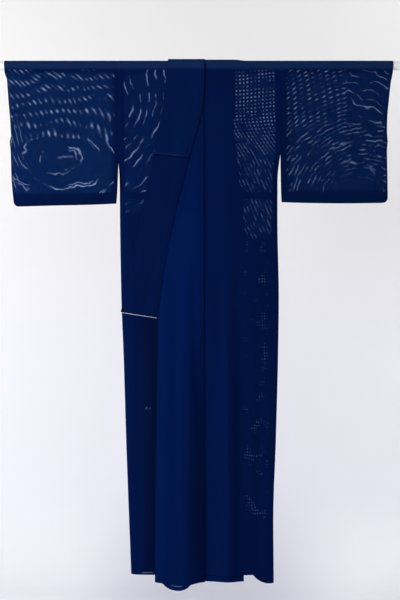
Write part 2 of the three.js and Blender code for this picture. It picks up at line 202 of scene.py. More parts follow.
backCreases = [
    (-206, -260, -200, -1570, 10, 2.2, 7),
    (-168, -420, -158, -1560, 15, -2.6, -6),
    (-126, -220, -132, -1575, 12, 2.0, 6),
    (-92, -120, -98, -1500, 11, -2.2, 5),
    (84, -180, 92, -1570, 12, 2.3, -7),
    (122, -280, 116, -1560, 13, -2.4, 5),
    (158, -90, 168, -1575, 14, 2.0, 6),
    (196, -400, 188, -1560, 11, -2.0, -4),
    (222, -500, 210, -1560, 8, 1.5, -4),
    (-150, -60, -190, -330, 12, 1.6, 6),
    (-110, -50, -90, -400, 10, -1.5, -5),
    (150, -50, 200, -320, 12, 1.6, -6),
    (-230, -290, -150, -470, 9, -1.5, 6),
    (228, -290, 150, -450, 9, 1.6, -5),
    (-66, -900, -140, -1500, 12, 1.6, 8),
    (70, -860, 150, -1480, 13, -1.6, -8),
]


def creaseRelief(creases, x, z):
    total = 0.0
    for startX, startZ, endX, endZ, width, height, bow in creases:
        runX, runZ = endX - startX, endZ - startZ
        length = math.hypot(runX, runZ)
        t = np.clip(((x - startX) * runX + (z - startZ) * runZ) / length ** 2, 0, 1)
        aside = ((z - startZ) * runX - (x - startX) * runZ) / length - bow * np.sin(math.pi * t)
        swell = np.sin(math.pi * t ** 0.75) ** 0.7 if height > 0 else np.sin(math.pi * t ** 1.2) ** 0.7
        total = total + height * swell * np.exp(-(aside / width) ** 2)
    return total


def tuckRelief(x, z):
    rise = tuck["out"] * below(tuck["top"], tuck["foot"], z) * (1 - below(tuck["foot"] - 1, tuck["foot"] - 5, z))
    pull = -0.6 * np.exp(-((z - tuck["foot"] + 12) / 9) ** 2) + 0.5 * np.exp(-((z - tuck["top"] - 9) / 8) ** 2)
    return (rise + pull) * sideEase(x, z, 1, 8)


def seamGroove(across, depth=1.0, width=1.8, allowance=0.45, way=1):
    return -depth * np.exp(-(across / width) ** 2) + allowance * np.exp(-((across * way - 6) / 4.5) ** 2)


def gentle(x, z):
    slow = np.sin(x / 61 + 1.3 + 0.8 * np.sin(z / 330)) * np.sin(z / 190 + 0.7 + 0.6 * np.sin(x / 90))
    quick = np.sin(x / 23 + z / 310 + 2.1) * np.sin(z / 83 + x / 140)
    return 0.7 * slow + 0.25 * quick


def frontRelief(x, z):
    relief = creaseRelief(frontCreases, x, z) + gentle(x, z)
    return relief * sideEase(x, z, 1, 20) * below(-12, -70, z) + tuckRelief(x, z)


def backRelief(x, z):
    relief = creaseRelief(backCreases, x, z) + gentle(x + 300, z)
    return relief * sideEase(x, z, 1, 20) * below(-40, -130, z) + tuckRelief(x, z)


def armholeGroove(x, z):
    sewn = 1 - below(*armhole["end"], z)
    grooves = seamGroove(x - armhole["left"], way=-1) + seamGroove(x - armhole["right"], way=1)
    return sewn * grooves * np.where(z > -16, 0.4, 1)


def flatFront(x, z, ease=None):
    ease = sideEase(x, z) if ease is None else ease
    return -mix(hang["sewnHalfGap"], halfGap("frontHalfGap", z), ease)


def covers(x, z):
    lower = mix(186, 136, below(-900, -1300, z))
    edge = np.where(z > underCollarLine["endFree"], underCollarLine["free"](z), lower) + hang["coverMargin"]
    t = np.clip((x - edge) / hang["coverEase"], 0, 1)
    return 1 - t * t * (3 - 2 * t)


def underFront(x, z):
    seam = seamGroove(x + hang["okumiSeam"], way=-1) * below(-150, -170, z) + armholeGroove(x, z)
    return flatFront(x, z) - underFoldShare * foldOut(x, z) - frontRelief(x, z) - seam


def topFront(x, z):
    seam = seamGroove(x - hang["okumiSeam"], 1.9, 2.4, 0.6) * below(-100, -120, z) + armholeGroove(x, z)
    out = hang["layer"] * covers(x, z) + foldOut(x, z) + frontRelief(x, z)
    return flatFront(x, z) - out - seam


frontOf = {"left": topFront, "right": underFront}


def collarFront(x, z):
    seam = topCollarLine["seam"](z)
    roll = seamGroove(x - seam + 8.5, 1.0, 1.8, 0.3, -1) * below(-14, -30, z)
    return flatFront(x, z, sideEase(x, z, 0.35, 34)) - hang["layer"] - frontRelief(x, z) - roll


def back(side, x, z):
    lift = hang["layer"] * covers(x, 0) * (1 - below(-14, hang["neckDrop"], z)) if side == "left" else 0
    flat = mix(hang["sewnHalfGap"], halfGap("backHalfGap", z), sideEase(x, z)) + lift
    return flat + backRelief(x, z) + armholeGroove(x, z)


def spaced(start, end, step, fine=(), fineStep=1.5, reach=5):
    line = np.linspace(start, end, 4001)
    density = np.full(line.size, 1 / step)
    for place in fine:
        density += np.exp(-((line - place) / reach) ** 2) / fineStep
    total = np.concatenate([[0], np.cumsum((density[1:] + density[:-1]) / 2)]) * abs(line[1] - line[0])
    count = max(2, math.ceil(total[-1]))
    return np.interp(np.linspace(0, total[-1], count + 1), total, line)


def shellPiece(name, grid, thickness, kept=None, ring=False, edges=None):
    rows, columns = grid.shape[:2]
    cellRows = rows if ring else rows - 1
    kept = np.ones((cellRows, columns - 1), bool) if kept is None else kept
    r, c = np.nonzero(kept)
    a = r * columns + c
    b = a + 1
    d = (r + 1) % rows * columns + c
    e = d + 1
    points = grid.reshape(-1, 3)
    across = np.cross(points[e] - points[a], points[d] - points[b])
    across /= np.maximum(np.linalg.norm(across, axis=1, keepdims=True), 1e-9)
    normals = np.zeros_like(points)
    for corner in (a, b, d, e):
        np.add.at(normals, corner, across)
    normals /= np.maximum(np.linalg.norm(normals, axis=1, keepdims=True), 1e-9)
    half = np.broadcast_to(thickness, (rows, columns)).reshape(-1, 1) / 2
    used = np.zeros(rows * columns, bool)
    used[np.concatenate([a, b, d, e])] = True
    number = np.cumsum(used) - 1
    count = int(used.sum())
    verts = np.concatenate([(points + normals * half)[used], (points - normals * half)[used]]) * 0.001
    a, b, d, e = (number[corner] for corner in (a, b, d, e))
    up, down = np.roll(kept, 1, 0), np.roll(kept, -1, 0)
    if not ring:
        up[0] = down[-1] = False
    side = np.zeros((cellRows, 1), bool)
    before = np.hstack([side, kept[:, :-1]])
    after = np.hstack([kept[:, 1:], side])
    faces = [np.stack([a, b, e, d], 1), np.stack([a, d, e, b], 1) + count]
    for neighbour, p, q in ((up, a, b), (after, b, e), (down, e, d), (before, d, a)):
        p, q = p[~neighbour[r, c]], q[~neighbour[r, c]]
        faces.append(np.stack([p, p + count, q + count, q], 1))
    mesh = bpy.data.meshes.new(name)
    mesh.from_pydata(verts.tolist(), [], np.concatenate(faces).tolist())
    mesh.polygons.foreach_set("use_smooth", np.ones(len(mesh.polygons), bool))
    if edges is not None:
        place = mesh.attributes.new("fromEdges", "FLOAT_VECTOR", "POINT")
        values = edges.reshape(-1, 3)[used]
        place.data.foreach_set("vector", np.concatenate([values, values]).ravel().astype(np.float32))
    mesh.update()
    piece = bpy.data.objects.new(name, mesh)
    scene.collection.objects.link(piece)
    return piece


def wear(piece, material, nodes):
    piece.data.materials.append(material)
    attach(piece, "root")
    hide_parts(*nodes)
    return piece


# Materials

def calc(tree, operation, *values):
    node = tree.nodes.new("ShaderNodeMath")
    node.operation = operation
    for socket, value in zip(node.inputs, values):
        if isinstance(value, (int, float)):
            socket.default_value = value
        else:
            tree.links.new(value, socket)
    return node.outputs[0]


def times(tree, value, *others):
    for other in others:
        value = calc(tree, "MULTIPLY", value, other)
    return value


def less(tree, first, second):
    return calc(tree, "SUBTRACT", first, second)


def withShare(tree, value, share, rest):
    return calc(tree, "MULTIPLY_ADD", value, share, rest)


def ramp(tree, value, start, end):
    node = tree.nodes.new("ShaderNodeMapRange")
    node.interpolation_type = "SMOOTHSTEP"
    tree.links.new(value, node.inputs["Value"])
    node.inputs["From Min"].default_value = start
    node.inputs["From Max"].default_value = end
    return node.outputs["Result"]


def between(tree, value, low, high, soft):
    return times(tree, ramp(tree, value, low, low + soft), ramp(tree, value, high, high - soft))


def axes(tree, vector):
    node = tree.nodes.new("ShaderNodeSeparateXYZ")
    tree.links.new(vector, node.inputs["Vector"])
    return [node.outputs[axis] for axis in "XYZ"]


def noise(tree, place, scale, detail=2.0, stretch=(1, 1, 1), shift=(0, 0, 0)):
    mapping = tree.nodes.new("ShaderNodeMapping")
    mapping.inputs["Location"].default_value = shift
    mapping.inputs["Scale"].default_value = stretch
    tree.links.new(place, mapping.inputs["Vector"])
    node = tree.nodes.new("ShaderNodeTexNoise")
    node.inputs["Scale"].default_value = scale
    node.inputs["Detail"].default_value = detail
    tree.links.new(mapping.outputs["Vector"], node.inputs["Vector"])
    return node.outputs["Fac"]


def blendColour(tree, share, first, second):
    node = tree.nodes.new("ShaderNodeMix")
    node.data_type = "RGBA"
    tree.links.new(share, node.inputs["Factor"])
    colourSockets = [s for s in node.inputs if s.type == "RGBA"]
    for socket, value in zip(colourSockets, (first, second)):
        if isinstance(value, tuple):
            socket.default_value = (*value, 1)
        else:
            tree.links.new(value, socket)
    return [s for s in node.outputs if s.type == "RGBA"][0]


# Light streaks where two layers of the gauze lie over each other, one list for each area of cloth: the cloth
# opens a little there, and the rest of the streak's light is painted into the base colour.
# The lines are rings round a still point, some far off the cloth, and break into dots where "dots" says.
plainStreaks = {
    "core": 10,                            # how blunt the rings are round the still point
    "ring": (1, 1),                        # their roundness above and below the turn
    "turn": (-200, -300),
    "tilt": 0,
    "rowShare": 1,                         # how many more rows the dots have than the lines
    "columns": (0, 20, -200, 300, 0),      # middle, pitch, upright from here, bend above, lean below
    "leanReach": 170,
    "lines": "rows",
    "dots": ((900, 1000), (0, -10)),       # from and to in z and in x, here off the cloth
    "double": 0,
    "lineShare": 1,
}
streakAreas = {
    "rightSleeve": [{
        "x": (-640, -262), "z": (-410, -14), "soft": 5, "still": (-440, -288), "core": 16,
        "ring": (0.42, 0.85), "turn": (-200, -262), "pitch": 51, "tilt": -0.06, "rowShare": 1.42,
        "columns": (-430, 19, -250, 190, 0), "dots": ((-262, -222), (-240, -250)),
        "sharp": (95, 3.4, 3.6), "warp": (2.2, 3.4, 7), "wiggle": (0.15, 44), "gaps": (0.42, 0.56, 11),
        "open": 0.64, "seed": 0.0, "double": 0.17, "skip": (-545, -398, -292, -230),
    }, {
        "x": (-596, -530), "z": (-405, -150), "soft": 6, "still": (895, 215), "pitch": 14,
        "sharp": (14, 2, 2), "warp": (1.2, 0.5, 7), "wiggle": (0.22, 30), "gaps": (0.44, 0.62, 16),
        "open": 0.27, "seed": 12.0,
    }, {
        "x": (-585, -350), "z": (-350, -262), "soft": 14, "still": (-430, -240), "pitch": 62,
        "ring": (0.7, 0.7), "tilt": 0.1,
        "sharp": (12, 2, 2), "warp": (1.2, 0.5, 9), "wiggle": (0.12, 38), "gaps": (0.55, 0.70, 30),
        "open": 0.3, "seed": 14.0,
    }],
    "leftSleeve": [{
        "x": (266, 640), "z": (-400, -14), "soft": 5, "still": (480, -415), "core": 12, "pitch": 13.4,
        "ring": (0.85, 0.85), "tilt": -0.2, "calm": (44, 150), "lineShare": 0.52,
        "columns": (430, 21.7, -200, 900, 0), "dots": ((-225, -170), (470, 430)),
        "sharp": (6, 7, 1.9), "warp": (2.2, 0.7, 6), "wiggle": (0.32, 40), "gaps": (0.45, 0.64, 32),
        "open": 0.46, "seed": 3.0, "skip": (446, 640, -190, 0),
    }, {
        "x": (446, 590), "z": (-190, -14), "soft": 14, "still": (131, -909), "pitch": 27,
        "sharp": (48, 2, 2), "warp": (0.8, 0.5, 6), "wiggle": (0.62, 21), "gaps": (0.42, 0.60, 17),
        "open": 0.36, "seed": 15.0,
    }, {
        "x": (392, 560), "z": (-352, -235), "soft": 16, "still": (474, -352), "core": 12, "pitch": 55,
        "ring": (0.8, 0.8), "tilt": -0.2, "calm": (14, 30),
        "sharp": (40, 2, 2), "warp": (1.6, 0.5, 8), "wiggle": (0.12, 30), "gaps": (0.44, 0.6, 15),
        "open": 0.36, "seed": 19.0,
    }],
    "rightBody": [{
        "x": (-250, -60), "z": (-466, -14), "soft": 5, "still": (-455, -70), "pitch": 25,
        "sharp": (22, 2.0, 2.0), "warp": (2.4, 0.5, 6), "wiggle": (0.26, 30), "gaps": (0.45, 0.66, 22),
        "open": 0.52, "seed": 6.5,
    }],
    "leftBody": [{
        "x": (103, 250), "z": (-540, -14), "soft": 5, "slant": (-200, 0.107), "still": (170, 1200),
        "ring": (0.3, 0.3), "pitch": 11.2, "tilt": 0.1, "lineShare": 0.32,
        "columns": (170, 11.4, -120, 4000, 0.42), "lines": "columns", "dots": ((-330, -170), (90, 100)),
        "sharp": (5.5, 2.6, 2.6), "warp": (1.4, 1.2, 6), "wiggle": (0.08, 48), "gaps": (0.42, 0.68, 48),
        "open": 0.46, "seed": 9.0,
    }],
}
# how far the cloth between the streaks takes the painted backlight tone
paintedBacklightShare = {"rightSleeve": 0.82, "leftSleeve": 0.52, "rightBody": 0.42, "leftBody": 0.38}
# painted light: sparse light dots below the waist, in the base colour only
paintedLightDotAreas = {
    "leftBody": {
        "x": (128, 218), "z": (-1420, -540), "soft": 20, "pitch": 9.6, "patch": (0.53, 0.66, 22),
        "light": 0.18, "seed": 21.0,
    },
    "rightBody": {
        "x": (-180, -100), "z": (-1500, -700), "soft": 14, "pitch": 15, "patch": (0.62, 0.74, 11),
        "light": 0.3, "seed": 33.0,
    },
}


def flatNoise(tree, place, seed, size, detail=1.5):
    return noise(tree, place, size, detail, (1, 0, 1), (seed, 0, seed))


def wander(tree, place, seed, size, detail=1.5):
    return less(tree, flatNoise(tree, place, seed, size, detail), 0.5)


def peak(tree, phase, sharp):
    wave = calc(tree, "COSINE", times(tree, phase, 2 * math.pi))
    return calc(tree, "POWER", withShare(tree, wave, 0.5, 0.5), sharp)


def within(tree, x, z, look):
    soft = look["soft"]
    edge = x
    if "slant" in look:
        start, rate = look["slant"]
        edge = withShare(tree, calc(tree, "MAXIMUM", less(tree, start, z), 0.0), -rate, x)
    left, right = look["x"]
    sides = times(tree, ramp(tree, edge, left, left + soft), ramp(tree, x, right, right - soft))
    return times(tree, sides, between(tree, z, *look["z"], soft))


def ringPhase(tree, place, x, z, look, dotted):
    stillX, stillZ = look["still"]
    fromX, fromZ = less(tree, x, stillX), less(tree, z, stillZ)
    upper, lower = look["ring"]
    roundness = withShare(tree, ramp(tree, z, *look["turn"]), lower - upper, upper)
    sideways = times(tree, fromX, roundness)
    squares = withShare(tree, sideways, sideways, look["core"] ** 2)
    far = calc(tree, "SQRT", withShare(tree, fromZ, fromZ, squares))
    row = calc(tree, "DIVIDE", withShare(tree, fromX, look["tilt"], far), look["pitch"])
    row = times(tree, row, withShare(tree, dotted, look["rowShare"] - 1, 1.0))
    warp, _, warpSize = look["warp"]
    row = withShare(tree, wander(tree, place, look["seed"], warpSize), warp, row)
    amount, size = look["wiggle"]
    return withShare(tree, wander(tree, place, look["seed"] + 80, size, 1.0), amount * 3, row), far


def columnPhase(tree, place, x, z, look):
    middle, pitch, upright, reach, lean = look["columns"]
    fromUpright = less(tree, z, upright)
    above = calc(tree, "MAXIMUM", fromUpright, 0.0)
    column = calc(tree, "ADD", less(tree, x, middle), times(tree, above, above, 0.5 / reach))
    leaning = times(tree, ramp(tree, z, upright, upright - look["leanReach"]), lean)
    column = withShare(tree, calc(tree, "MINIMUM", fromUpright, 0.0), leaning, column)
    _, warp, warpSize = look["warp"]
    drift = wander(tree, place, look["seed"] + 17, warpSize)
    return withShare(tree, drift, warp, calc(tree, "DIVIDE", column, pitch))


def secondLines(tree, place, row, look, dotted):
    lines = peak(tree, calc(tree, "ADD", row, look["double"]), look["sharp"][0] * 1.5)
    share = ramp(tree, flatNoise(tree, place, look["seed"] + 52, 9, 1.0), 0.45, 0.6)
    return times(tree, lines, share, less(tree, 1.0, dotted))


def streakPattern(tree, place, x, z, look):
    look = {**plainStreaks, **look}
    dotted = times(tree, ramp(tree, z, *look["dots"][0]), ramp(tree, x, *look["dots"][1]))
    row, far = ringPhase(tree, place, x, z, look, dotted)
    column = columnPhase(tree, place, x, z, look)
    lineSharp, rowSharp, columnSharp = look["sharp"]
    if look["lines"] == "rows":
        lines = peak(tree, row, withShare(tree, dotted, rowSharp - lineSharp, lineSharp))
        if look["double"]:
            lines = calc(tree, "MAXIMUM", lines, secondLines(tree, place, row, look, dotted))
        cuts = less(tree, peak(tree, column, columnSharp), 1.0)
    else:
        lines = peak(tree, column, withShare(tree, dotted, columnSharp - lineSharp, lineSharp))
        cuts = less(tree, peak(tree, row, rowSharp), 1.0)
    crossed = times(tree, lines, withShare(tree, cuts, dotted, 1.0))
    low, high, size = look["gaps"]
    gaps = ramp(tree, flatNoise(tree, place, look["seed"] + 40, size, 2.5), low, high)
    uneven = ramp(tree, flatNoise(tree, place, look["seed"] + 60, 26, 2.0), 0.34, 0.68)
    held = withShare(tree, less(tree, uneven, gaps), dotted, gaps)
    lineOpen = look["lineShare"] * look["open"]
    pattern = times(tree, crossed, held, withShare(tree, dotted, look["open"] - lineOpen, lineOpen))
    if "calm" in look:
        pattern = times(tree, pattern, ramp(tree, far, *look["calm"]))
    if "skip" in look:
        left, right, low, high = look["skip"]
        skipped = within(tree, x, z, {"x": (left, right), "z": (low, high), "soft": 14})
        pattern = times(tree, pattern, less(tree, 1.0, skipped))
    return times(tree, pattern, within(tree, x, z, look))


def paintedLightDots(tree, place, x, z, look):
    low, high, size = look["patch"]
    wave = times(tree, flatNoise(tree, place, look["seed"] + 5, 30, 1), 2.0)
    row = calc(tree, "ADD", calc(tree, "DIVIDE", z, look["pitch"]), wave)
    column = calc(tree, "ADD", calc(tree, "DIVIDE", x, look["pitch"] * 0.8), wave)
    patch = ramp(tree, flatNoise(tree, place, look["seed"], size, 2.0), low, high)
    dots = times(tree, peak(tree, row, 3.2), peak(tree, column, 2.6), patch, look["light"])
    return times(tree, dots, within(tree, x, z, look))


gauze = {
    "full": (0.0003, 0.0075, 0.0570),      # many layers, which give back the most blue
    # painted light on the overlap's lit fold
    "paintedLitFold": (0.0003, 0.0090, 0.0720),
    "shade": (0.0006, 0.0052, 0.0340),     # beside the overlap's free edge
    "collar": (0.0008, 0.0088, 0.0570),
    "lowCollar": (0.0006, 0.0070, 0.0520),
    "sleeve": (0.0006, 0.0066, 0.0440),
    "thin": (0.0006, 0.0064, 0.0500),      # two layers with the room dim behind them
    # painted backlight: lighter where light from behind comes through both layers
    "clear": (0.0012, 0.0145, 0.0800),     # two layers with light behind them
    # painted highlight: lighter, greyer tone where the cloth turns over the top of the rod, lit from above
    "onRod": (0.0060, 0.0200, 0.0800),
    # painted light of the streaks and dots, blended into the base colour
    "paintedStreakLight": (0.33, 0.52, 1.0),
    "paintedStreakShare": 0.9,
    "roughness": 0.86,
    "sheen": 0.01,
    "sheenRoughness": 0.45,
    "sheenTint": (0.1, 0.25, 0.9),
    "specular": 0.012,
    "frontAlpha": 0.993,
    "backAlpha": 0.6,
    "streakOpen": 0.36,                    # how far a streak opens the front layer
    "weavePitch": 1.1,
    "weaveHeight": 0.12,
    "seamShade": 0.6,
    "seamReach": 4.2,
}
# Painted shadow and highlight at the over-collar's end: a dark shadow line at the very end, and a lit line along
# the folded edge just above it.
coverEndShadowAndHighlight = {
    "dark": (3.2, 2.2), "darkShare": 0.75, "darkTone": (0.0002, 0.0014, 0.011),
    "light": (2.4, 3.4), "lightEnd": (7.0, 5.5), "lightX": (-46, -60),
    "lightShare": 0.4, "lightTone": (0.008, 0.026, 0.11),
}
# Painted light: a thin light line near the hem, where light comes between the layers.
paintedHemLight = {"softX": 8, "soft": 1.5, "z": (-1400, -1450), "share": 0.5, "tone": (0.3, 0.36, 0.6)}


def principled(name, roughness, specular=0.25):
    material = bpy.data.materials.new(name)
    material.use_nodes = True
    tree = material.node_tree
    shader = tree.nodes["Principled BSDF"]
    shader.inputs["Roughness"].default_value = roughness
    shader.inputs["Specular IOR Level"].default_value = specular
    place = tree.nodes.new("ShaderNodeTexCoord").outputs["Object"]
    return material, tree, shader, place


def addBump(tree, shader, height, strength, distance):
    node = tree.nodes.new("ShaderNodeBump")
    node.inputs["Strength"].default_value = strength
    node.inputs["Distance"].default_value = distance
    tree.links.new(height, node.inputs["Height"])
    tree.links.new(node.outputs["Normal"], shader.inputs["Normal"])


def weaveBump(tree, shader, place, pitch, height):
    x, _, z = axes(tree, place)
    drift = times(tree, noise(tree, place, 30, 3), 1.5)
    across = calc(tree, "SINE", withShare(tree, z, 2000 * math.pi / pitch, drift))
    along = calc(tree, "SINE", withShare(tree, x, 2000 * math.pi / (pitch * 0.6), drift))
    slub = times(tree, noise(tree, place, 60, 4, (0.3, 1, 4)), 2.5)
    surface = calc(tree, "ADD", withShare(tree, along, 0.35, across), slub)
    addBump(tree, shader, surface, 0.35, height * 0.001)


def mottled(tree, share, tone, spread=0.12):
    low = tuple(c * (1 - spread) for c in tone)
    high = tuple(c * (1 + spread) for c in tone)
    return blendColour(tree, share, low, high)


def clothMaterial(name, tone="thin", area=None, strips=None, layerToneAndPaintedShading=None, paintedEndShadowAndHighlight=False, hemLight=None):
    material, tree, shader, place = principled(name, gauze["roughness"], gauze["specular"])
    shader.inputs["Sheen Weight"].default_value = gauze["sheen"]
    shader.inputs["Sheen Roughness"].default_value = gauze["sheenRoughness"]
    shader.inputs["Sheen Tint"].default_value = (*gauze["sheenTint"], 1)
    x, y, z = (times(tree, axis, 1000) for axis in axes(tree, place))
    mottle = noise(tree, place, 9, 3, (1.6, 1, 0.3))
    front = ramp(tree, y, 4, -4)
    colour = mottled(tree, mottle, gauze[tone])
    # A band in another tone beside an edge: it carries the tone of the layers beneath, painted light on lit folds
    # and painted shadow beside the overlap's free edge.
    if layerToneAndPaintedShading is not None:
        atTop, atFoot = layerToneAndPaintedShading["x"]
        edge = withShare(tree, ramp(tree, z, *layerToneAndPaintedShading["z"]), atFoot - atTop, atTop)
        beside = ramp(tree, less(tree, x, edge), layerToneAndPaintedShading["soft"], 0)
        share = times(tree, beside, ramp(tree, z, *layerToneAndPaintedShading["from"]), front)
        if "fade" in layerToneAndPaintedShading:
            share = times(tree, share, ramp(tree, z, *layerToneAndPaintedShading["fade"]))
        colour = blendColour(tree, share, colour, mottled(tree, mottle, gauze[layerToneAndPaintedShading["tone"]]))
    edges = tree.nodes.new("ShaderNodeAttribute")
    edges.attribute_name = "fromEdges"
    apart = axes(tree, edges.outputs["Vector"])
    fromSeam, fromEnd = apart[1:]
    if area is not None:
        hems = [ramp(tree, axis, width, width - 1.5) for axis, width in zip(apart, strips) if width]
        if "Body" in area:
            foot, top = tuck["foot"], tuck["top"]
            hems.append(times(tree, ramp(tree, z, foot - 5, foot + 2), ramp(tree, z, top + 4, top - 3)))
        strip = hems[0]
        for hem in hems[1:]:
            strip = calc(tree, "MAXIMUM", strip, hem)
        single = less(tree, 1.0, strip)
        looks = streakAreas[area]
        pattern = streakPattern(tree, place, x, z, looks[0])
        for look in looks[1:]:
            pattern = calc(tree, "MAXIMUM", pattern, streakPattern(tree, place, x, z, look))
        pattern = times(tree, pattern, single, front)
        # Painted backlight: inside the streak area the single layer takes a lighter tone and opens a little.
        inside = within(tree, x, z, {**looks[0], "soft": 22})
        share = times(tree, inside, single, front, paintedBacklightShare[area])
        colour = blendColour(tree, share, colour, mottled(tree, mottle, gauze["clear"], 0.15))
        # Painted streak light in the base colour; the streaks also open the front layer below.
        colour = blendColour(tree, times(tree, pattern, gauze["paintedStreakShare"]), colour, gauze["paintedStreakLight"])
        opened = times(tree, pattern, gauze["streakOpen"])
        frontOpen = calc(tree, "MAXIMUM", opened, times(tree, share, 1 - gauze["frontAlpha"]))
        behind = times(tree, less(tree, 1.0, front), 1 - gauze["backAlpha"], single)
        layerOpen = times(tree, calc(tree, "MAXIMUM", frontOpen, behind), ramp(tree, z, -8, -16))
        oneFace = calc(tree, "SQRT", layerOpen)      # light passes two faces of each shell
        tree.links.new(less(tree, 1.0, oneFace), shader.inputs["Alpha"])
    # Painted light dots.
    if area in paintedLightDotAreas:
        paintedDotShare = times(tree, paintedLightDots(tree, place, x, z, paintedLightDotAreas[area]), front)
        colour = blendColour(tree, paintedDotShare, colour, gauze["paintedStreakLight"])
    # Painted highlight where the cloth turns over the rod.
    colour = blendColour(tree, ramp(tree, z, -20, -4), colour, mottled(tree, mottle, gauze["onRod"]))
    # Painted shade along the seams, darkest at the seam line.
    nearSeam = calc(tree, "POWER", math.e, times(tree, fromSeam, -1 / gauze["seamReach"]))
    shade = times(tree, nearSeam, gauze["seamShade"])
    colour = blendColour(tree, shade, colour, tuple(c * 0.15 for c in gauze["thin"]))
    # Painted shadow at the over-collar's end, painted highlight on its folded edge.
    if paintedEndShadowAndHighlight:
        dark = times(tree, ramp(tree, fromEnd, *coverEndShadowAndHighlight["dark"]), coverEndShadowAndHighlight["darkShare"])
        colour = blendColour(tree, dark, colour, coverEndShadowAndHighlight["darkTone"])
        lit = times(tree, ramp(tree, fromEnd, *coverEndShadowAndHighlight["light"]), ramp(tree, fromEnd, *coverEndShadowAndHighlight["lightEnd"]))
        lit = times(tree, lit, ramp(tree, x, *coverEndShadowAndHighlight["lightX"]), coverEndShadowAndHighlight["lightShare"])
        colour = blendColour(tree, lit, colour, coverEndShadowAndHighlight["lightTone"])
    # Painted light line near the hem.
    if hemLight is not None:
        left, right, low, high = hemLight
        line = times(tree, between(tree, x, left, right, paintedHemLight["softX"]), front)
        near = between(tree, fromEnd, low, high, paintedHemLight["soft"])
        share = times(tree, near, line, ramp(tree, z, *paintedHemLight["z"]), paintedHemLight["share"])
        colour = blendColour(tree, share, colour, paintedHemLight["tone"])
    tree.links.new(colour, shader.inputs["Base Color"])
    weaveBump(tree, shader, place, gauze["weavePitch"], gauze["weaveHeight"])
    return material


def liningMaterial(name):
    material, tree, shader, place = principled(name, 0.85)
    colour = blendColour(tree, noise(tree, place, 40, 3), (0.78, 0.78, 0.76), (0.9, 0.9, 0.88))
    tree.links.new(colour, shader.inputs["Base Color"])
    weaveBump(tree, shader, place, 0.7, 0.08)
    return material


def rodMaterial(name):
    material, tree, shader, place = principled(name, 0.38)
    tone = noise(tree, place, 25, 4)
    colour = blendColour(tree, tone, (0.84, 0.84, 0.83), (0.9, 0.9, 0.89))
    tree.links.new(colour, shader.inputs["Base Color"])
    tree.links.new(withShare(tree, tone, 0.2, 0.28), shader.inputs["Roughness"])
    addBump(tree, shader, noise(tree, place, 400, 2), 0.15, 0.0002)
    return material


print("materials")
collarCloth = clothMaterial("navyCollar", "lowCollar")
coverCloth = clothMaterial("navyOverCollar", "collar", paintedEndShadowAndHighlight=True)
# Painted light on the overlap's lit fold, darkening towards the seam.
overlapCloth = clothMaterial("navyOverlap", "full", hemLight=(-92, -52, 11, 13.6), layerToneAndPaintedShading={
    "tone": "paintedLitFold", "x": (-8, -8), "z": (-200, -900), "soft": 26, "from": (-240, -520), "fade": (-1150, -760),
})
insideCloth = clothMaterial("navyInside")
bodyStrips = (19, 0, 16)
bodyCloth = {
    # The band by the inner edge takes the layered tone, with painted light on the fold's lit flank.
    "left": clothMaterial("navyBodyLeft", "thin", "leftBody", bodyStrips, {
        "tone": "full", "x": (80, 92), "z": (-1150, -1420), "soft": 8, "from": (-40, -140),
    }),
    # Painted shadow beside the overlap's free edge.
    "right": clothMaterial("navyBodyRight", "thin", "rightBody", bodyStrips, {
        "tone": "shade", "x": (-168, -162), "z": (-800, -1500), "soft": -20, "from": (-740, -800),
    }, hemLight=(-184, -142, 5.5, 8.4)),
}
sleeveStrips = (12, 4, 34)
sleeveCloth = {
    "left": clothMaterial("navySleeveLeft", "sleeve", "leftSleeve", sleeveStrips),
    "right": clothMaterial("navySleeveRight", "sleeve", "rightSleeve", sleeveStrips),
}
whiteCloth = liningMaterial("whiteCotton")


# Body panels: one length of cloth each, from the front hem over the rod to the back hem
bodyPanel = {
    "thick": 0.5,
    "hemThick": 1.0,
    "hemWidth": 15,
    "column": 5.5,
    "row": 11,
    "closeRows": (33, 395, 425),       # finer rows at the neck and both edges of the tuck
    "turns": 12,
    "seamReach": 0.35,
}


def pleatPaths(start, count, end, endCount):
    return np.concatenate([
        np.linspace(start, 1, count), np.linspace(1, 2, 7)[1:], np.linspace(2, 3, 9)[1:],
        np.linspace(3, end, endCount)[1:],
    ])


def pleatPoints(side, path, z):
    part = np.clip(z / hang["bodyHem"], 0, 1)
    turn = mix(pleat["turnTop"], pleat["turnHem"], part)
    near = pleat["foot"] + turn
    far = mix(pleat["halfTop"], pleat["halfHem"], part) - turn
    sign = signs[side]
    start = back(side, sign * near, z)
    firstTurn = np.clip(path, 0, 1) * math.pi
    secondTurn = np.clip(path - 2, 0, 1) * math.pi
    x = near - turn * np.sin(firstTurn)
    x = np.where(path > 1, mix(near, far, np.clip(path - 1, 0, 1)), x)
    x = np.where(path > 2, far + turn * np.sin(secondTurn), x)
    x = np.where(path > 3, mix(far, 0.4, np.clip(path - 3, 0, 1)), x)
    y = turn * (1 - np.cos(firstTurn))
    y = np.where(path > 2, turn * (3 - np.cos(secondTurn)), y)
    return stacked(sign * x, start + y, z + 0 * path)


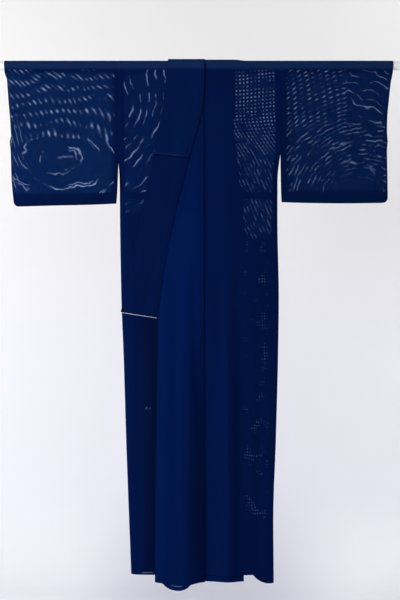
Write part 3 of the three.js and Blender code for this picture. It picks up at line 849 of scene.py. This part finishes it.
def bodyGrid(side, look):
    sign = signs[side]
    hem = hang["bodyHem"]
    inner = sign * (hang["okumiSeam"] + 0.05)
    width = abs(sideEdge[side](0) - inner)
    columns = spaced(0, width, look["column"], (0, 28, width), 1.2, 3) / width
    rowsDown = spaced(0, -hem, look["row"], (0, *look["closeRows"], -hem), 3, 8) / -hem
    neckRow = int(np.argmin(np.abs(rowsDown - pleat["top"] / hem)))
    rowsDown[neckRow] = pleat["top"] / hem

    def outer(z):
        return sideEdge[side](z) + sign * look["seamReach"] * (1 - below(-262, -270, z))

    def spot(part, way):
        startX = mix(sideEdge[side](hem), inner, columns)[None, :]
        z = part[:, None] * hem - hemDrop(startX) * part[:, None] ** 8 * (startX > 0)
        innerBack = sign * (pleat["foot"] + mix(pleat["turnTop"], pleat["turnHem"], np.clip(z / hem, 0, 1)))
        x = mix(outer(z), mix(inner, innerBack, (way + 1) / 2), columns[None, :])
        return x, z

    frontX, frontZ = spot(rowsDown[::-1], -1)
    frontY = frontOf[side](frontX, frontZ)
    angles = np.linspace(-math.pi / 2, math.pi / 2, look["turns"] + 1)[1:-1, None]
    innerBack = sign * (pleat["foot"] + pleat["turnTop"])
    turnX = mix(outer(0.0), mix(inner, innerBack, (np.sin(angles) + 1) / 2), columns[None, :])
    radius = hang["onRod"] + (hang["layer"] * covers(turnX, 0) if side == "left" else 0)
    radius = radius + armholeGroove(turnX, 0)
    backX, backZ = spot(rowsDown, 1)
    panel = np.concatenate([
        stacked(frontX, frontY, frontZ),
        stacked(turnX, radius * np.sin(angles), radius * np.cos(angles)),
        stacked(backX, back(side, backX, backZ), backZ),
    ])
    firstPleatRow = len(panel) - len(rowsDown) + neckRow
    heights = np.full(len(panel), pleat["top"])
    heights[firstPleatRow:] = rowsDown[neckRow:] * hem
    folds = pleatPoints(side, pleatPaths(0, 9, 4, 11)[None, 1:], heights[:, None])
    grid = np.concatenate([panel, folds], 1)
    kept = np.ones((grid.shape[0] - 1, grid.shape[1] - 1), bool)
    kept[:firstPleatRow, len(columns) - 1:] = False
    run = np.concatenate([[0], np.cumsum(np.linalg.norm(np.diff(grid[-30], axis=0), axis=1))])
    fromInner = np.full(grid.shape[:2], float(farAway))
    fromInner[:len(rowsDown), :len(columns)] = np.abs(frontX - inner)
    fromHem = grid[:, :, 2] - hem
    edges = stacked(run[None, :], fromInner, fromHem)
    thickness = np.where(fromHem < look["hemWidth"], look["hemThick"], look["thick"])
    return grid, kept, edges, thickness


for side in ("left", "right"):
    grid, kept, edges, thickness = bodyGrid(side, bodyPanel)
    piece = shellPiece("bodyPanel_" + side, grid, thickness, kept, edges=edges)
    wear(piece, bodyCloth[side], ["body_" + side])
print("body panels")


# Sleeves: one folded length each, sewn into a tube round the rod
sleeve = {
    "thick": 0.5,
    "column": 5,
    "row": 8,
    "turns": 12,
    "corner": 16,
    "cornerShare": 0.046,
    "cuffInset": {"left": 3, "right": 9},
    "seamReach": 0.35,
    "creases": {
        "left": [
            (300, -40, 330, -380, 16, 1.8, 10), (360, -60, 380, -400, 20, -1.8, -12),
            (440, -50, 450, -380, 18, 1.6, 9), (520, -40, 500, -390, 20, -1.7, -10),
            (560, -90, 530, -400, 14, 1.6, 6), (280, -200, 420, -380, 18, -1.4, 14),
            (270, -60, 300, -250, 10, -1.3, 4), (480, -300, 570, -390, 14, 1.2, 5),
        ],
        "right": [
            (-300, -40, -320, -390, 16, 1.7, -9), (-350, -80, -390, -400, 19, -1.9, 10),
            (-430, -50, -440, -390, 17, 1.7, -8), (-500, -40, -480, -400, 20, -1.6, 11),
            (-560, -60, -530, -400, 15, 1.8, -6), (-590, -160, -470, -400, 16, -1.4, -12),
            (-275, -70, -290, -260, 10, -1.2, -4), (-300, -300, -420, -410, 15, 1.3, -6),
        ],
    },
    "cuffEnd": -245,
    "inner": {
        "left": smoothLine([
            (25, 251.8), (-30, 251.8), (-105, 251.7), (-170, 251.5), (-260, 251.3), (-350, 252.3), (-430, 254),
        ]),
        "right": smoothLine([(25, -254.1), (-260, -254.1), (-350, -256.8), (-430, -260.4)]),
    },
    "cuff": {
        "left": smoothLine([
            (25, 600.5), (-30, 596), (-105, 588), (-170, 582.5), (-260, 581.5), (-350, 583), (-430, 584),
        ]),
        "right": smoothLine([
            (25, -608), (-30, -604.5), (-105, -599), (-170, -593.6), (-260, -588.8), (-350, -586), (-430, -579),
        ]),
    },
    "bottom": {
        "left": smoothLine([(0, -424), (0.25, -426.5), (0.6, -427.7), (1, -426)]),
        "right": smoothLine([(0, -428.5), (0.25, -432), (0.6, -434.5), (1, -438)]),
    },
}


def sleeveGrid(side, look):
    sign = signs[side]
    innerEdge, cuff = look["inner"][side], look["cuff"][side]
    width = abs(cuff(0) - innerEdge(0))
    columns = spaced(0, width, look["column"], (0, width), 1.2, 4) / width
    rows = spaced(0, 430, look["row"], (0, 400, 430), 2, 10) / 430
    corner = np.clip((columns - 1 + look["cornerShare"]) / look["cornerShare"], 0, 1)
    bottom = look["bottom"][side](columns) + look["corner"] * (1 - np.sqrt(1 - corner ** 2))

    def spot(part, face):
        z = part[:, None] * bottom[None, :]
        inset = look["cuffInset"][side] * below(-20, -60, z) * (1 - below(-205, -245, z)) if face < 0 else 0
        inner = innerEdge(z) - sign * look["seamReach"] * (1 - below(-262, -270, z))
        x = mix(inner, cuff(z) - sign * inset, columns[None, :])
        fromCuff = np.abs(cuff(z) - x)
        cuffEase = 1 - below(look["cuffEnd"] + 15, look["cuffEnd"] - 20, z) * np.exp(-fromCuff / hang["edgeEase"])
        bottomEase = 1 - np.exp(-(z - bottom[None, :]) / hang["edgeEase"])
        gap = halfGap("frontHalfGap" if face < 0 else "backHalfGap", z)
        inside = cuffEase * bottomEase
        relief = creaseRelief(look["creases"][side], x, z) * (1 if face < 0 else -0.8) + gentle(x - 200 * face, z)
        relief = relief * inside * below(-14, -60, z)
        y = face * (mix(hang["sewnHalfGap"], gap, inside) + relief + armholeGroove(x, z))
        return x, y, z

    front = spot(rows[::-1], -1)
    angles = np.linspace(-math.pi / 2, math.pi / 2, look["turns"] + 1)[1:-1, None]
    startX = innerEdge(0.0) - sign * look["seamReach"]
    turnX = mix(startX, cuff(0.0), columns[None, :]) + 0 * angles
    radius = hang["onRod"] + armholeGroove(turnX, 0)
    turn = (turnX, radius * np.sin(angles), radius * np.cos(angles))
    behind = spot(rows, 1)
    grid = np.stack([np.concatenate(parts) for parts in zip(front, turn, behind)], -1)
    x, z = grid[:, :, 0], grid[:, :, 2]
    return grid, stacked(np.abs(x - innerEdge(z)), np.abs(cuff(z) - x), z - bottom[None, :])


for side in ("left", "right"):
    grid, edges = sleeveGrid(side, sleeve)
    piece = shellPiece("sleeve_tube_" + side, grid, sleeve["thick"], ring=True, edges=edges)
    wear(piece, sleeveCloth[side], ["sleeve_" + side])
print("sleeves")


# Overlap panels
okumi = {
    "thick": 0.5,
    "column": 5,
    "row": 11,
    "tip": {"left": -90, "right": -140},
    "atHem": {"left": -139.5, "right": 136},
    "width": 150,
}


def okumiGrid(side, look):
    sign = signs[side]
    line = collarLines[side]
    end = line["endSeam"]
    hem = hang["okumiHem"] + (0 if side == "left" else 2)
    levels = spaced(look["tip"][side], hem, look["row"], (hem,), 2, 6)
    columns = spaced(0, 1, look["column"] / look["width"], (0, 1), 0.02, 0.02)

    def edge(z):
        lower = mix(line["seam"](end), look["atHem"][side], below(end, hang["okumiHem"], z))
        return np.where(z > end, line["seam"](z), lower) + sign * 0.1

    seamX = sign * (hang["okumiSeam"] - 0.05)
    x = mix(edge(levels)[:, None], seamX, columns[None, :])
    z = levels[:, None]
    drop = hemDrop(mix(edge(hem), seamX, columns))[None, :] * (z / hem) ** 8
    grid = stacked(x, frontOf[side](x, z), z - drop)
    return grid, stacked(farAway, np.abs(x - seamX), z - hem)


for side in ("left", "right"):
    grid, edges = okumiGrid(side, okumi)
    piece = shellPiece("overlap_" + side, grid, okumi["thick"], edges=edges)
    wear(piece, overlapCloth, ["okumi_" + side])
print("overlap panels")


# The collar: two front stretches, the back stretch, and the over-collars
collar = {
    "thick": 1.3,
    "foldedThick": 2.6,
    "overThick": 0.7,
    "overOut": 1.6,
    "rolledEnd": 0.9,
    "overEnd": {"left": (-279, -290), "right": (-270, -282)},
    "overBehind": 0.62,
    "tail": {"left": 12, "right": 10},
    "width": 115,
    "stand": 56,
    "standThick": 1.5,
    "row": 9,
    "column": 5,
}


def collarPoints(side, column, along):
    line = collarLines[side]
    shift = -0.1 * signs[side]
    lift = hang["layer"] if side == "left" else 0
    level = -np.minimum(along, 0) * mix(line["endFree"], line["endSeam"], column)
    z = np.where(along <= 0, level, 0.0)
    x = mix(line["free"](z), line["seam"](z) + shift, column)
    y = collarFront(x, z) if side == "left" else underFront(x, z)
    startX = mix(line["free"](25.0), line["seam"](25.0) + shift, column)
    radius = hang["onRod"] + lift
    arc = math.pi * radius
    gone = along * (arc + collar["tail"][side])
    angle = np.clip(gone / radius, 0, math.pi) - math.pi / 2
    over = along > 0
    x = np.where(over, startX, x)
    y = np.where(over, radius * np.sin(angle), y)
    z = np.where(over, np.where(gone > arc, arc - gone, radius * np.cos(angle)), z)
    return stacked(x, y, z)


def movedOut(points, distance):
    rows = np.gradient(points, axis=0)
    columns = np.gradient(points, axis=1)
    normal = np.cross(columns, rows)
    normal /= np.maximum(np.linalg.norm(normal, axis=2, keepdims=True), 1e-9)
    return points + normal * distance


collarColumns = spaced(0, 1, collar["column"] / collar["width"], (0, 1), 0.014, 0.02)
fromSeam = (1 - collarColumns) * collar["width"]
for side, line in collarLines.items():
    length = -line["endSeam"]
    down = spaced(-1, 0, collar["row"] / length, (-1, 0), 0.004, 0.01)
    along = np.concatenate([down, spaced(0, 1, 0.07, (1,), 0.03, 0.05)[1:]])
    points = collarPoints(side, collarColumns[None, :], along[:, None])
    thickness = collar["thick"]
    if side == "right":
        thickness = mix(collar["thick"], collar["foldedThick"], below(-300, -600, points[:, :, 2]))
    edges = stacked(farAway, fromSeam[None, :], length * (along[:, None] + 1))
    piece = shellPiece("collar_front_" + side, points, thickness, edges=edges)
    wear(piece, collarCloth, ["collar_" + side])

    endFree, endSeam = collar["overEnd"][side]
    share = mix(endFree / line["endFree"], endSeam / line["endSeam"], collarColumns)
    down = spaced(-1, 0, 0.03, (-1,), 0.01, 0.02)[:, None] * share[None, :]
    over = spaced(0, collar["overBehind"], 0.07)[1:, None] + 0 * share[None, :]
    spots = collarPoints(side, collarColumns[None, :], np.concatenate([down, over]))
    spots = movedOut(spots, collar["overOut"] * signs[side])
    fromEnd = np.abs(spots[:1, :, 2] - spots[:, :, 2])
    thickness = collar["overThick"] + collar["rolledEnd"] * np.exp(-(fromEnd / 5) ** 2)
    edges = stacked(farAway, fromSeam[None, :], fromEnd)
    piece = shellPiece("collar_cover_" + side, spots, thickness, edges=edges)
    wear(piece, coverCloth, ["over_collar_" + side])


def backCollarGrid(look):
    heights = np.linspace(hang["neckDrop"] + 0.8, hang["neckDrop"] + look["stand"], 15)
    paths = pleatPaths(0.5, 6, 4, 11)[:-1]
    left = pleatPoints("left", paths, float(hang["neckDrop"]))
    right = pleatPoints("right", paths[::-1], float(hang["neckDrop"]))
    grid = np.repeat(np.concatenate([left, right])[None], len(heights), 0)
    grid[:, :, 2] = heights[:, None]
    return grid


standGrid = backCollarGrid(collar)
edges = np.full(standGrid.shape, float(farAway))
piece = shellPiece("collar_stand_back", standGrid, collar["standThick"], edges=edges)
wear(piece, collarCloth, ["collar_back"])

# The white edge of the lining at the collar's lower end
peep = {"out": 1.2, "tucked": 24, "under": 1.7, "inset": 3, "width": 119.5, "thick": 0.8}
inset = peep["inset"] / peep["width"]
columns = np.linspace(inset, 1 - inset, 31)
pastEnd = np.array([peep["out"], peep["out"] / 2, 0, -8, -peep["tucked"]])
along = -1 + pastEnd / topCollarLine["endSeam"]
points = collarPoints("left", columns[None, :], along[:, None])
points[:, :, 1] += peep["under"]
piece = shellPiece("lining_peep", points, peep["thick"])
wear(piece, whiteCloth, ["collar_lining"])
print("collar")


# Seat lining: a second layer inside the back, from the hip down
seatLining = {
    "top": -521,
    "hem": -1560,
    "sideInset": 9,
    "inside": 1.6,
    "thick": 0.5,
    "row": 16,
    "column": 7,
    "halfWidth": 220,
}


def seatGrid(look):
    rows = spaced(look["top"], look["hem"], look["row"])[:, None]
    shares = spaced(0, 1, look["column"] / look["halfWidth"], (0,), 0.01, 0.04)[None, :]
    paths = pleatPaths(0, 9, 3.94, 9)[None, :]
    part = rows / hang["bodyHem"]
    step = 0.02
    halves = []
    for side, sign in signs.items():
        edge = sideEdge[side](rows) - sign * look["sideInset"]
        near = sign * (pleat["foot"] + mix(pleat["turnTop"], pleat["turnHem"], part))
        x = mix(edge, near, shares)
        flat = stacked(x, back(side, x, rows) - look["inside"], rows)
        ahead = pleatPoints(side, np.minimum(paths + step, 4), rows)
        run = ahead - pleatPoints(side, np.maximum(paths - step, 0), rows)
        inward = stacked(-run[..., 1], run[..., 0], 0.0) * sign
        inward /= np.linalg.norm(inward, axis=2, keepdims=True)
        folded = pleatPoints(side, paths, rows) + inward * look["inside"]
        halves.append(np.concatenate([flat, folded], 1))
    return np.concatenate([halves[0], halves[1][:, ::-1]], 1)


liningGrid = seatGrid(seatLining)
edges = np.full(liningGrid.shape, float(farAway))
piece = shellPiece("seat_lining_layer", liningGrid, seatLining["thick"], edges=edges)
wear(piece, insideCloth, ["seat_lining"])
print("seat lining")


# The rod keeps its shape from the model and gets its own finish
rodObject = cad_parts["rod"]
rodObject.data.materials.clear()
rodObject.data.materials.append(rodMaterial("whitePaint"))
print("rod")
# Stage, lights and camera
stage = {
    "wallY": 1.0,
    "floorZ": -1.86,
    "curve": 0.3,
    "front": -4.0,
    "top": 3.0,
    "halfWidth": 5,
    "wallColour": (0.86, 0.855, 0.84),
    "lowColour": (0.83, 0.825, 0.875),
    "shade": 0.42,
    "shadeColour": (0.3, 0.31, 0.4),
    "camera": (0, -2.815, -0.7284),
    "lens": 54.3,
    "worldColour": (0.95, 0.96, 1.0, 1),
    "worldStrength": 0.38,
}
lights = [    # name, place, target, width and height, power
    ("keyLeft", (-3.1, -1.9, -0.2), (0, 0, -0.75), (0.9, 1.8), 105),
    ("fillRight", (2.6, -2.6, 0.2), (0, 0, -0.8), (1.6, 1.6), 14),
    ("wallLeft", (-2.6, 0.1, 0.3), (-0.2, 1.0, -0.7), (0.8, 2.4), 5),
    ("wallRight", (2.6, 0.1, 0.3), (0.2, 1.0, -0.7), (0.8, 2.4), 32),
]


def stageMaterial():
    material, tree, shader, place = principled("palePlaster", 0.95)
    tone = noise(tree, place, 3, 2)
    x, _, z = axes(tree, place)
    colour = blendColour(tree, ramp(tree, z, -1.6, 0.2), stage["lowColour"], stage["wallColour"])
    colour = blendColour(tree, times(tree, tone, 0.02), colour, (0.5, 0.5, 0.52))
    # Painted shadow of the garment on the cove below the hem.
    aside = calc(tree, "ABSOLUTE", less(tree, x, 0.04))
    shade = times(tree, ramp(tree, aside, 0.62, 0.12), ramp(tree, z, -1.45, -1.86), stage["shade"])
    colour = blendColour(tree, shade, colour, stage["shadeColour"])
    tree.links.new(colour, shader.inputs["Base Color"])
    through = tree.nodes.new("ShaderNodeBsdfTransparent")
    oneSided = tree.nodes.new("ShaderNodeMixShader")
    tree.links.new(tree.nodes.new("ShaderNodeNewGeometry").outputs["Backfacing"], oneSided.inputs["Fac"])
    tree.links.new(shader.outputs[0], oneSided.inputs[1])
    tree.links.new(through.outputs[0], oneSided.inputs[2])
    tree.links.new(oneSided.outputs[0], tree.nodes["Material Output"].inputs["Surface"])
    return material


def backdrop():
    wall, floor, curve = stage["wallY"], stage["floorZ"], stage["curve"]
    half = stage["halfWidth"]
    angles = np.linspace(0, math.pi / 2, 13)
    profile = [(stage["front"], floor)]
    profile += [(wall - curve + curve * math.sin(a), floor + curve - curve * math.cos(a)) for a in angles]
    profile += [(wall, stage["top"])]
    verts = [(x, y, z) for x in (-half, half) for y, z in profile]
    n = len(profile)
    faces = [(k, n + k, n + k + 1, k + 1) for k in range(n - 1)]
    mesh = bpy.data.meshes.new("backdrop")
    mesh.from_pydata(verts, [], faces)
    mesh.polygons.foreach_set("use_smooth", np.ones(len(mesh.polygons), bool))
    piece = bpy.data.objects.new("backdrop", mesh)
    scene.collection.objects.link(piece)
    mesh.materials.append(stageMaterial())


def areaLight(name, place, target, size, power):
    light = bpy.data.lights.new(name, "AREA")
    light.shape = "RECTANGLE"
    light.size, light.size_y = size
    light.energy = power
    lamp = bpy.data.objects.new(name, light)
    lamp.location = place
    aim = Vector(target) - Vector(place)
    lamp.rotation_euler = aim.to_track_quat("-Z", "Y").to_euler()
    scene.collection.objects.link(lamp)


backdrop()
for light in lights:
    areaLight(*light)
world = bpy.data.worlds.new("studio")
scene.world = world
world.use_nodes = True
background = world.node_tree.nodes["Background"]
background.inputs["Color"].default_value = stage["worldColour"]
background.inputs["Strength"].default_value = stage["worldStrength"]

cameraData = bpy.data.cameras.new("camera")
cameraData.sensor_fit = "VERTICAL"
cameraData.sensor_height = 36
cameraData.lens = stage["lens"]
camera = bpy.data.objects.new("camera", cameraData)
camera.location = stage["camera"]
camera.rotation_euler = (math.pi / 2, 0, 0)
scene.collection.objects.link(camera)
scene.camera = camera
scene.view_settings.view_transform = "Standard"
print("stage")
